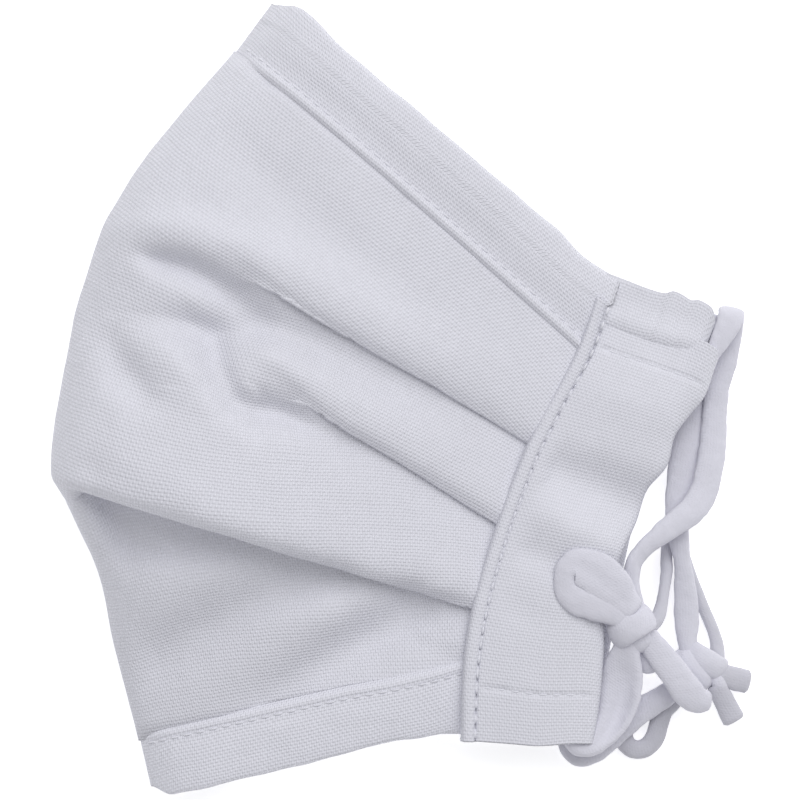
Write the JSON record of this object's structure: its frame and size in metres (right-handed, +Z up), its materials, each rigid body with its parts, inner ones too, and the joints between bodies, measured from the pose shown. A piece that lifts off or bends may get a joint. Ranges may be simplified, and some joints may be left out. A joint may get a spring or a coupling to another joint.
{
  "type": "cloth face mask",
  "caption": "Pleated white cotton face mask with side casings and tied elastic ear cords, folded in half and lying on its side.",
  "frame": {"origin": "on the surface, under the middle of the cloth, where the folded mask lies on its back half", "axes": "+X from the centre fold towards the ear cords, +Y along the side casings towards the nose edge, +Z up from the surface"},
  "size_m": [0.1339, 0.142, 0.0268],
  "materials": {
    "cotton_cloth": "matt plain weave",
    "elastic_cord": "soft fine knit"
  },
  "bodies": {
    "root": {"pleated_panel": "cotton_cloth", "top_hem": "cotton_cloth", "bottom_hem": "cotton_cloth", "casing_front": "cotton_cloth", "casing_back": "cotton_cloth", "ear_cord_front": "elastic_cord", "ear_cord_back": "elastic_cord", "bow_front": "elastic_cord", "tail_front": "elastic_cord", "bow_back": "elastic_cord", "loop_back": "elastic_cord", "tail_back_right": "elastic_cord", "tail_back_down": "elastic_cord", "knot_front": "elastic_cord", "knot_back": "elastic_cord"}
  },
  "joints": []
}
